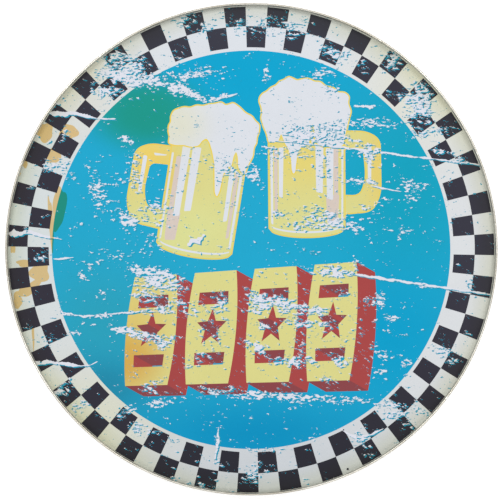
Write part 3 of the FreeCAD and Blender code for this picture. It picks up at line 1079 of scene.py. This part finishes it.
@dataclass(frozen=True)
class PrintedFilm(Finish):
    """White film, printed and rubbed, under a clear semi-gloss film."""
    aged_inner: float = 0.1460
    aged_outer: float = 0.1642
    aged_tint: tuple = (0.87, 0.86, 0.73, 1.0)

    def make(self, effects: Effects) -> bpy.types.Material:
        """Ink, slow mottle and print grain, then teal chips, white chips and the yellowed rim.

        Args:
            effects: the shared node groups.
        Returns:
            The material.
        """
        made, wires, shader = self.start()
        place = wires.place()
        ink = wires.node("Attribute", attribute_name=INK_ATTRIBUTE).outputs["Color"]
        wear = wires.node("Attribute", attribute_name=WEAR_ATTRIBUTE).outputs["Fac"]
        mottle = wires.use(effects.mottle, Vector=place, Scale=26.0, Amount=0.10).outputs[0]
        grain = wires.use(effects.grain, Vector=place, Scale=1400.0, Fineness=0.7).outputs[0]
        uneven = wires.math("MULTIPLY", mottle, wires.span(grain, 0.2, 0.8, 0.97, 1.03))
        printed = wires.mix(1.0, ink, uneven, "MULTIPLY")
        shift = (CHIP_SHIFT[0] * MM, CHIP_SHIFT[1] * MM, 0.0)
        under = wires.use(effects.flaking, Vector=place, Shift=shift, Density=wear, Bias=-0.03).outputs[0]
        bare = wires.use(effects.flaking, Vector=place, Shift=(0.0, 0.0, 0.0), Density=wear).outputs[0]
        chipped = wires.mix(under, printed, (*pigment(Ink.TEAL.value), 1.0))
        chipped = wires.mix(bare, chipped, (*pigment(Ink.CHIP.value), 1.0))
        rim = wires.use(effects.rim_ageing_and_shade, Vector=place, Inner=self.aged_inner,
                        Outer=self.aged_outer).outputs[0]
        aged = wires.mix(1.0, chipped, self.aged_tint, "MULTIPLY")
        wires.put(shader.inputs["Base Color"], wires.mix(rim, chipped, aged))
        lines = wires.use(effects.hairlines, Vector=place, Scale=90.0, Amount=0.5).outputs[0]
        rough = wires.math("ADD", wires.math("MULTIPLY", bare, 0.10), wires.math("MULTIPLY", lines, 0.12))
        wires.put(shader.inputs["Roughness"], wires.math("ADD", rough, self.roughness))
        height = wires.math("SUBTRACT", wires.math("MULTIPLY", grain, 0.5),
                            wires.math("MULTIPLY", bare, 0.4))
        relief = wires.bump(wires.math("SUBTRACT", height, lines), depth=0.00003, strength=0.35)
        wires.put(shader.inputs["Normal"], relief)
        return made


@dataclass(frozen=True)
class Metal(Finish):
    """Sheet or wire: a warm or a cold grey, with drawn grain, hairlines and a painted shade that darkens
    the rim's bead.
    """
    colour: tuple = (0.6, 0.58, 0.54)
    bead_shade_colour: tuple = (0.4, 0.37, 0.32)
    grain_scale: float = 900.0
    grain_stretch: tuple = (0.15, 1.0, 1.0)
    bead_shade_radii: tuple = (0.1630, 0.1652)

    def make(self, effects: Effects) -> bpy.types.Material:
        """Mottled colour with painted shade that darkens it over the rim's bead, hairlines brighter than
        the sheet, drawn grain.

        Args:
            effects: the shared node groups.
        Returns:
            The material.
        """
        made, wires, shader = self.start()
        place = wires.place()
        mottle = wires.use(effects.mottle, Vector=place, Scale=34.0, Amount=0.35).outputs[0]
        lines = wires.use(effects.hairlines, Vector=place, Scale=110.0, Amount=0.7).outputs[0]
        grain = wires.use(effects.grain, Vector=wires.stretched(place, self.grain_stretch),
                          Scale=self.grain_scale, Fineness=0.65).outputs[0]
        rim = wires.use(effects.rim_ageing_and_shade, Vector=place, Inner=self.bead_shade_radii[0],
                        Outer=self.bead_shade_radii[1]).outputs[0]
        # Painted shade: the colour turns darker over the rim's bead, between the band's two radii.
        colour = wires.mix(rim, (*self.colour, 1.0), (*self.bead_shade_colour, 1.0))
        uneven = wires.math("MULTIPLY", mottle, wires.span(grain, 0.2, 0.8, 0.95, 1.05))
        colour = wires.mix(1.0, colour, uneven, "MULTIPLY")
        wires.put(shader.inputs["Base Color"], wires.mix(lines, colour, (0.78, 0.77, 0.74, 1.0)))
        rough = wires.math("ADD", wires.span(grain, 0.2, 0.8, -0.05, 0.07), self.roughness)
        rough = wires.math("SUBTRACT", rough, wires.math("MULTIPLY", lines, 0.1))
        wires.put(shader.inputs["Roughness"], rough)
        height = wires.math("SUBTRACT", wires.math("MULTIPLY", grain, 0.4), lines)
        wires.put(shader.inputs["Normal"], wires.bump(height, depth=0.00004, strength=0.5))
        return made


@dataclass(frozen=True)
class Moulded(Finish):
    """Rubber, foam or a dried adhesive: one mottled colour with a fine skin and a little dust."""
    colour: tuple = (0.05, 0.05, 0.055)
    dust: tuple = (0.4, 0.38, 0.34)
    dust_share: float = 0.2
    skin_scale: float = 3500.0
    skin_depth: float = 0.00005

    def make(self, effects: Effects) -> bpy.types.Material:
        """Mottled colour with dust where slow noise is high, and the skin as bump.

        Args:
            effects: the shared node groups.
        Returns:
            The material.
        """
        made, wires, shader = self.start()
        place = wires.place()
        mottle = wires.use(effects.mottle, Vector=place, Scale=160.0, Amount=0.5).outputs[0]
        skin = wires.use(effects.grain, Vector=place, Scale=self.skin_scale, Fineness=0.6).outputs[0]
        patches = wires.span(wires.noise(place, scale=420, detail=4.0, roughness=0.65), 0.5, 0.72)
        dusty = wires.math("MULTIPLY", patches, self.dust_share)
        colour = wires.mix(1.0, (*self.colour, 1.0), mottle, "MULTIPLY")
        wires.put(shader.inputs["Base Color"], wires.mix(dusty, colour, (*self.dust, 1.0)))
        rough = wires.math("ADD", wires.math("MULTIPLY", dusty, 0.3), self.roughness)
        wires.put(shader.inputs["Roughness"], rough)
        wires.put(shader.inputs["Normal"], wires.bump(skin, self.skin_depth, strength=0.6))
        return made


@dataclass
class Finishes:
    """Every finish of the tray, made into materials once."""
    effects: Effects

    def make(self) -> dict[str, bpy.types.Material]:
        """The materials by the record's slot names."""
        finishes = {
            "printed_film": PrintedFilm("printed film", roughness=0.36, specular=0.05),
            "tinplate": Metal("lacquered tinplate", metallic=0.85, roughness=0.38, coat=0.1,
                              colour=(0.66, 0.64, 0.58), bead_shade_colour=(0.46, 0.43, 0.36)),
            "steel_wire": Metal("drawn steel wire", metallic=1.0, roughness=0.42,
                                colour=(0.42, 0.42, 0.43), bead_shade_colour=(0.30, 0.29, 0.28), grain_scale=1600.0),
            "adhesive": Moulded("acrylic adhesive", roughness=0.28, colour=(0.62, 0.58, 0.46),
                                skin_scale=1800.0),
            "foot_rubber": Moulded("foot rubber", roughness=0.72, specular=0.3,
                                   colour=(0.035, 0.035, 0.038), dust_share=0.3, skin_depth=0.00008),
            "foam_tape": Moulded("foam tape", roughness=0.9, specular=0.2, colour=(0.62, 0.61, 0.58),
                                 dust_share=0.1, skin_scale=2600.0, skin_depth=0.00012),
        }
        return {slot: finish.make(self.effects) for slot, finish in finishes.items()}


# ---------------------------------------------------------------- sub-assemblies


@dataclass
class PrintedFace:
    """The picture and its clear film, as one thin closed shell that turns up at the pan's corner.

    The top is a triangulation whose edges follow every outline of the picture, so each colour ends
    on a clean line. It lies flat to lip_start and then rises on an arc about the corner's centre.
    The offset is the picture's middle from the tray's, and the lines between the border's squares
    fan out from a middle of their own.
    """
    offset: tuple = (-0.16, -0.39)
    field_radius: float = 133.8
    ring_radius: float = 136.0
    row_radius: float = 150.2
    border_radius: float = 163.3
    squares: int = 70
    first_edge: float = 4.11
    fan_middle: tuple = (0.7, -0.7)
    lip_start: float = 162.9
    lip_height: float = 0.55
    lip_angle: float = 80.0
    lip_steps: int = 5
    segments: int = 720
    grid: float = 2.4
    grid_margin: float = 0.4
    weld: float = 1e-4
    underside_rings: tuple = (120.0, 60.0, 0.0)
    row: BarrelRow = field(default_factory=BarrelRow)

    @staticmethod
    def heights() -> tuple[float, float]:
        """The flat top, from the serving face's mount, and the print's underside, in millimetres."""
        mounts = {mount["name"]: mount for mount in frame["record"]["mounts"]}
        return mounts["serving_face"]["pos_m"][2] / MM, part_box("face_print")[0][2] / MM

    @staticmethod
    def reach(start: tuple, angle: np.ndarray, radius: float) -> np.ndarray:
        """How far a line from a start goes at each angle before it meets a circle about the origin.

        It meets it where |s + R d| = radius for the direction d, so R = -s.d + sqrt((s.d)^2 - s.s
        + radius^2).

        Args:
            start: the point s that every line leaves.
            angle: the lines' angles, in radians.
            radius: the circle's.
        Returns:
            The distance R along each line.
        """
        s = np.asarray(start)
        along = np.cos(angle) * s[0] + np.sin(angle) * s[1]
        return -along + np.sqrt(along ** 2 - s @ s + radius ** 2)

    def border_lines(self) -> list:
        """The border's circles, kept inside the print's limit, and the lines between its squares."""
        lines = [closed(circle(radius, self.segments))
                 for radius in (self.field_radius, self.ring_radius, self.row_radius)]
        turn = np.arange(self.segments + 1) * 2 * np.pi / self.segments
        reach = np.minimum(self.border_radius, self.reach(self.offset, turn, self.limit()))
        lines.append(np.stack([reach * np.cos(turn), reach * np.sin(turn)], axis=1))
        angle = np.radians(self.first_edge + np.arange(self.squares) * 360 / self.squares)
        way = np.stack([np.cos(angle), np.sin(angle)], axis=1)
        ends = [self.fan_middle + way * self.reach(self.fan_middle, angle, radius)[:, None]
                for radius in (self.ring_radius, self.row_radius, self.border_radius)]
        return lines + list(np.stack(ends, axis=1))

    def border_ink(self, at: np.ndarray) -> np.ndarray:
        """The ink numbers of field, ring, the two rows of squares and the margin.

        Args:
            at: points on the picture.
        Returns:
            Each point's ink number.
        """
        radius, fan = np.hypot(at[:, 0], at[:, 1]), at - self.fan_middle
        angle = np.degrees(np.arctan2(fan[:, 1], fan[:, 0]))
        square = np.floor((angle - self.first_edge) * self.squares / 360).astype(int)
        outer = radius > self.row_radius
        dark = (radius > self.ring_radius) & (radius < self.border_radius) & ((square % 2 == 1) == outer)
        return np.where(radius < self.field_radius, INKS.index(Ink.BLUE),
                        np.where(dark, INKS.index(Ink.BLACK), INKS.index(Ink.PAPER)))

    def lip(self, radius: float) -> np.ndarray:
        """The turned-up edge's profile, an arc of this radius about the corner's centre."""
        top, _ = self.heights()
        centre = (self.lip_start, top + self.lip_height)
        return arc(centre, radius, -90, -90 + self.lip_angle, self.lip_steps)

    def limit(self) -> float:
        """The radius that no line of the picture passes: the lip's last ring but one."""
        return self.lip(self.lip_height)[-2, 0]

    def compose(self) -> tuple[Picture, list, list]:
        """The whole picture in order.

        Returns:
            The mugs and scratches as a picture, the barrels' rims, and the stains' outlines.
        """
        picture = Picture()
        picture.lines += self.border_lines()
        rims = self.row.paint(picture)
        for mug in MUGS:
            mug.paint(picture)
        for seed, (path, widths) in enumerate(SCRATCHES):
            torn = scratch(path, widths, seed)
            picture.fill(torn + CHIP_SHIFT, Ink.TEAL)
            picture.fill(torn, Ink.CHIP)
        for x, y, radius in SPECKS:
            picture.fill(circle(radius, 10) + (x, y), Ink.BLACK)
        stains = [stain.outline() for stain in STAINS]
        picture.lines += [closed(stain) for stain in stains]
        return picture, rims, stains

    def grid_points(self) -> np.ndarray:
        """Points at the corners of equal triangles, every other row moved by half a side."""
        across = np.arange(-self.lip_start, self.lip_start, self.grid)
        x, y = np.meshgrid(across, across * math.sqrt(0.75))
        x = x + np.where(np.arange(len(across)) % 2 == 0, 0.0, 0.5 * self.grid)[:, None]
        points = np.stack([x.ravel(), y.ravel()], axis=1)
        return points[np.hypot(*points.T) < self.lip_start - self.grid_margin]

    def triangulate(self, picture: Picture) -> tuple[np.ndarray, np.ndarray]:
        """Cuts the sheet into triangles along every line of the picture.

        Args:
            picture: the outlines and lines, about the picture's middle.
        Returns:
            Points about the tray's middle, and rows of three point numbers, anticlockwise.
        """
        points, pairs = picture.edges()
        points = points + self.offset
        distance = np.hypot(points[:, 0], points[:, 1])
        points *= np.minimum(1.0, self.limit() / np.maximum(distance, 1e-9))[:, None]
        for radius in self.lip(self.lip_height)[:, 0]:
            number = np.arange(self.segments)
            pairs = np.concatenate([pairs, len(points) + np.stack([number, np.roll(number, -1)], axis=1)])
            points = np.concatenate([points, circle(radius, self.segments)])
        points = np.concatenate([points, self.grid_points()])
        made, _, faces, *_ = delaunay_2d_cdt([Vector(point) for point in points], pairs.tolist(), [], 0,
                                             self.weld, False)
        return np.array([tuple(point) for point in made]), np.array(faces)

    def inks(self, at: np.ndarray, picture: Picture, rims: list) -> np.ndarray:
        """The ink numbers: the border and field, then the barrels, then every patch in order.

        Args:
            at: points on the picture.
            picture: the patches.
            rims: the barrels' outlines and cut-outs. A point in an odd number of them is on a face.
        Returns:
            Each point's ink number.
        """
        inks = self.border_ink(at)
        self.row.shade(at, rims, inks)
        crossings = sum(inside(at, rim).astype(int) for rim in rims)
        inks[crossings % 2 == 1] = INKS.index(Ink.YELLOW)
        for outline, ink in picture.patches:
            inks[inside(at, outline)] = INKS.index(ink)
        return inks

    @staticmethod
    def colours(corners: np.ndarray, inks: np.ndarray, stained: np.ndarray) -> np.ndarray:
        """The corners' colours: ink, changed by the washes, and tanned where a drink has dried. Some
        washes are painted light and shade: black lighter at the picture's top and right, and paper, black
        and blue darker at its foot.

        Args:
            corners: points on the picture.
            inks: their ink numbers.
            stained: which of them a drink has reached.
        Returns:
            Rows of linear red, green and blue.
        """
        colours = np.array([pigment(ink.value) for ink in INKS])[inks]
        for wash in INK_WASHES_AND_PAINTED_LIGHT:
            wash.lay(corners, inks, colours)
        tanned = stained & (inks != INKS.index(Ink.BLACK))
        colours[tanned] *= STAIN_TINT
        return colours

    @staticmethod
    def wear(at: np.ndarray) -> np.ndarray:
        """The share that has flaked: 1 - (1 - faint)(1 - a)(1 - b)... over every rub and streak.

        Args:
            at: points on the picture.
        Returns:
            The share at each point.
        """
        left = np.ones(len(at))
        for mark in (*RUBS, *DRAGS):
            left *= 1 - mark.density(at)
        return 1 - (1 - FAINT_WEAR) * left

    def shell(self, points: np.ndarray, faces: np.ndarray) -> tuple[np.ndarray, list]:
        """Raises the top's edge, and closes it with an underside turned on the lathe.

        Args:
            points: the top's points, about the tray's middle.
            faces: the top's triangles.
        Returns:
            The shell's vertices and its faces, the top's first: then come the film's cut edge, the
            arc of the print's own underside and its flat.
        """
        top, under = self.heights()
        radius = np.hypot(points[:, 0], points[:, 1])
        along = np.clip(radius - self.lip_start, 0, self.lip_height)
        rise = self.lip_height - np.sqrt(self.lip_height ** 2 - along ** 2)
        upper = np.column_stack([points, top + rise])
        profile = np.concatenate([self.lip(self.lip_height + top - under)[::-1],
                                  [(ring, under) for ring in self.underside_rings]])
        lower, lower_faces = lathe(profile, self.segments)
        angle = np.mod(np.arctan2(points[:, 1], points[:, 0]) + 1e-4, 2 * np.pi)
        rim = np.flatnonzero(radius > radius.max() - 1e-3)
        rim = rim[np.argsort(angle[rim])]
        below = len(upper) + np.arange(self.segments)
        edge = np.stack([rim, below, np.roll(below, -1), np.roll(rim, -1)], axis=1)
        every = faces.tolist() + edge.tolist() + shifted(lower_faces, len(upper))
        return np.concatenate([upper, lower]), every

    def build(self, material: bpy.types.Material) -> bpy.types.Object:
        """Makes the shell with its ink on the faces' corners and its wear on the points.

        Args:
            material: the printed film.
        Returns:
            The piece.
        """
        picture, rims, stains = self.compose()
        points, faces = self.triangulate(picture)
        middles = points[faces].mean(axis=1) - self.offset
        inks = self.inks(middles, picture, rims)
        stained = np.any([inside(middles, stain) for stain in stains], axis=0)
        corners = points[faces].reshape(-1, 2) - self.offset
        colours = self.colours(corners, np.repeat(inks, 3), np.repeat(stained, 3))
        vertices, every_face = self.shell(points, faces)
        piece = make_piece("printed_face", vertices, every_face, sharp=50.0)

        wear = self.wear(vertices[:, :2] - self.offset)
        wear[len(points):] = 0
        density = piece.data.attributes.new(WEAR_ATTRIBUTE, "FLOAT", "POINT")
        density.data.foreach_set("value", wear.astype(np.float32))
        paper = np.tile(pigment(Ink.PAPER.value), (len(piece.data.loops) - len(colours), 1))
        every = np.column_stack([np.concatenate([colours, paper]), np.ones(len(piece.data.loops))])
        ink = piece.data.attributes.new(INK_ATTRIBUTE, "FLOAT_COLOR", "CORNER")
        ink.data.foreach_set("color", every.astype(np.float32).ravel())
        install(piece, material, "printed_film", "face_print", "clear_overlay")
        return piece


@dataclass
class Pan:
    """The pressed pan: a flat floor, a rounded corner, a wall, and a bead curled outwards and down."""
    sheet: float = 0.3
    corner: float = 0.8
    bead: float = 0.65
    curl_end: float = -115.0
    floor_rings: tuple = (0.0, 55.0, 110.0, 150.0)
    segments: int = 512

    def profile(self) -> np.ndarray:
        """The section, from the middle of the floor out over the bead and back underneath.

        Arcs for the inner corner, the bead outside and inside and the outer corner are joined by the
        straight floor and wall. The sizes come from the CAD pan's box.
        """
        low, high = (np.array(corner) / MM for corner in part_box("tray_pan"))
        curl = (high[0] - self.bead, high[2] - self.bead)
        wall, floor = curl[0] - self.bead, low[2] + self.sheet
        turn = (wall - self.corner, floor + self.corner)
        inner = self.bead - self.sheet
        return np.concatenate([
            [(ring, floor) for ring in self.floor_rings],
            arc(turn, self.corner, -90, 0, steps=9),
            arc(curl, self.bead, 180, self.curl_end, steps=28),
            arc(curl, inner, self.curl_end, 180, steps=20),
            arc(turn, self.corner + self.sheet, 0, -90, steps=10),
            [(ring, low[2]) for ring in self.floor_rings[::-1]],
        ])

    def build(self, material: bpy.types.Material) -> bpy.types.Object:
        """Turns the pan and dresses it."""
        vertices, faces = lathe(self.profile(), self.segments)
        piece = make_piece("pressed_pan", vertices, faces, sharp=40.0)
        install(piece, material, "tinplate", "tray_pan")
        return piece


@dataclass
class Feet:
    """Four moulded rubber feet: a rounded rim, a shallow dish and a grip ring underneath."""
    angles: tuple = (45, 135, 225, 315)
    circle_radius: float = 125.0
    radius: float = 7.0
    height: float = 1.2
    top_edge: float = 0.12
    edge: float = 0.4
    rest: float = 0.5
    slope: float = 0.5
    dish: float = 0.18
    ring: float = 3.9
    ring_half_width: float = 0.45
    ring_height: float = 0.14
    segments: int = 96

    def profile(self) -> np.ndarray:
        """The section, from the middle of the top out and round to the middle of the dish.

        The foot stands on a flat as wide as rest. Inside it the rubber slopes up to the dish, where
        the grip ring hangs as half an ellipse.
        """
        out = self.radius - self.edge
        top = (self.radius - self.top_edge, self.height - self.top_edge)
        turn = np.radians([0, 45, 90, 135, 180])
        ring = self.ring + self.ring_half_width * np.cos(turn)
        lift = self.dish - self.ring_height * np.sin(turn)
        return np.concatenate([
            [(0.0, self.height)],
            arc(top, self.top_edge, 90, 0, steps=4),
            arc((out, self.edge), self.edge, 0, -90, steps=8),
            arc((out - self.rest, 0.5 * self.dish), 0.5 * self.dish, -90, -180, steps=4),
            [(out - self.rest - self.slope, self.dish)],
            np.stack([ring, lift], axis=1),
            [(0.0, self.dish)],
        ])

    def build(self, material: bpy.types.Material) -> bpy.types.Object:
        """Turns one foot and sets four of them about the middle, at the diagonals.

        Args:
            material: the foot rubber.
        Returns:
            The piece.
        """
        vertices, faces = lathe(self.profile(), self.segments)
        points, every = [], []
        for number, angle in enumerate(np.radians(self.angles)):
            place = self.circle_radius * np.array([math.cos(angle), math.sin(angle), 0])
            points.append(vertices + place)
            every += shifted(faces, number * len(vertices))
        piece = make_piece("rubber_feet", np.concatenate(points), every, sharp=50.0)
        install(piece, material, "foot_rubber", "base_feet")
        return piece


@dataclass
class Studio:
    """A pale floor, a white sky, four soft lights overhead and the camera. Lengths are metres here.

    Each of the two lights at the picture's top has top_share times light_power, and each of the
    other two has 2 - top_share times it.
    """
    camera_height: float = 3.0
    sensor: float = 0.036
    field_width: float = 0.33496
    camera_aside: tuple = (-0.00093, -0.00054)
    sky: float = 0.36
    light_power: float = 6.1
    light_size: float = 0.5
    light_distance: float = 1.5
    light_slant: float = 27.0
    top_share: float = 1.25
    table_glow: float = 0.32
    floor_half: float = 12.0
    floor_drop: float = 0.0002

    def floor(self) -> None:
        """A broad plane just under the feet."""
        mesh = bpy.data.meshes.new("floor")
        half, low = self.floor_half, -self.floor_drop
        mesh.from_pydata([(-half, -half, low), (half, -half, low), (half, half, low), (-half, half, low)],
                         [], [(0, 1, 2, 3)])
        made = bpy.data.objects.new("floor", mesh)
        bpy.context.scene.collection.objects.link(made)
        paint = bpy.data.materials.new("pale floor")
        paint.use_nodes = True
        shader = paint.node_tree.nodes["Principled BSDF"]
        shader.inputs["Base Color"].default_value = (0.93, 0.93, 0.93, 1.0)
        shader.inputs["Roughness"].default_value = 0.9
        shader.inputs["Specular IOR Level"].default_value = 0.2
        shader.inputs["Emission Color"].default_value = (1.0, 1.0, 1.0, 1.0)
        shader.inputs["Emission Strength"].default_value = self.table_glow
        mesh.materials.append(paint)

    def light(self) -> None:
        """The sky's even light, and four soft lights in a ring, aimed at the tray's middle."""
        world = bpy.data.worlds.new("studio")
        world.use_nodes = True
        background = world.node_tree.nodes["Background"]
        background.inputs["Color"].default_value = (1.0, 1.0, 1.0, 1.0)
        background.inputs["Strength"].default_value = self.sky
        bpy.context.scene.world = world
        slant = math.radians(self.light_slant)
        for angle in (45, 135, 225, 315):
            lamp = bpy.data.lights.new("soft light", "AREA")
            lamp.shape = "DISK"
            lamp.size = self.light_size
            share = self.top_share if angle < 180 else 2 - self.top_share
            lamp.energy = self.light_power * share
            aside = math.radians(angle)
            place = self.light_distance * Vector((math.sin(slant) * math.cos(aside),
                                                  math.sin(slant) * math.sin(aside), math.cos(slant)))
            made = bpy.data.objects.new("soft light", lamp)
            made.location = place
            made.rotation_mode = "QUATERNION"
            made.rotation_quaternion = (-place).to_track_quat("-Z", "Y")
            bpy.context.scene.collection.objects.link(made)

    def camera(self) -> None:
        """A long lens straight above, whose view is field_width wide at the top of the bead."""
        data = bpy.data.cameras.new("camera")
        data.sensor_width = self.sensor / MM
        above_bead = self.camera_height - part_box("tray_pan")[1][2]
        data.lens = data.sensor_width * above_bead / self.field_width
        made = bpy.data.objects.new("camera", data)
        made.location = (*self.camera_aside, self.camera_height)
        bpy.context.scene.collection.objects.link(made)
        bpy.context.scene.camera = made

    def build(self) -> None:
        """Sets the whole studio up, with colours shown as plain sRGB."""
        self.floor()
        self.light()
        self.camera()
        bpy.context.scene.view_settings.view_transform = "Standard"


def main() -> None:
    """Builds and dresses the tray, and sets up the studio."""
    logging.basicConfig(level=logging.INFO, format="%(name)s: %(message)s")
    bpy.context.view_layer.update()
    materials = Finishes(Effects()).make()
    Pan().build(materials["tinplate"])
    PrintedFace().build(materials["printed_film"])
    Feet().build(materials["foot_rubber"])
    dress_node("rim_wire", materials["steel_wire"])
    dress_node("face_adhesive", materials["adhesive"])
    dress_node("foot_tapes", materials["foam_tape"])
    Studio().build()


if __name__ == "__main__":
    main()
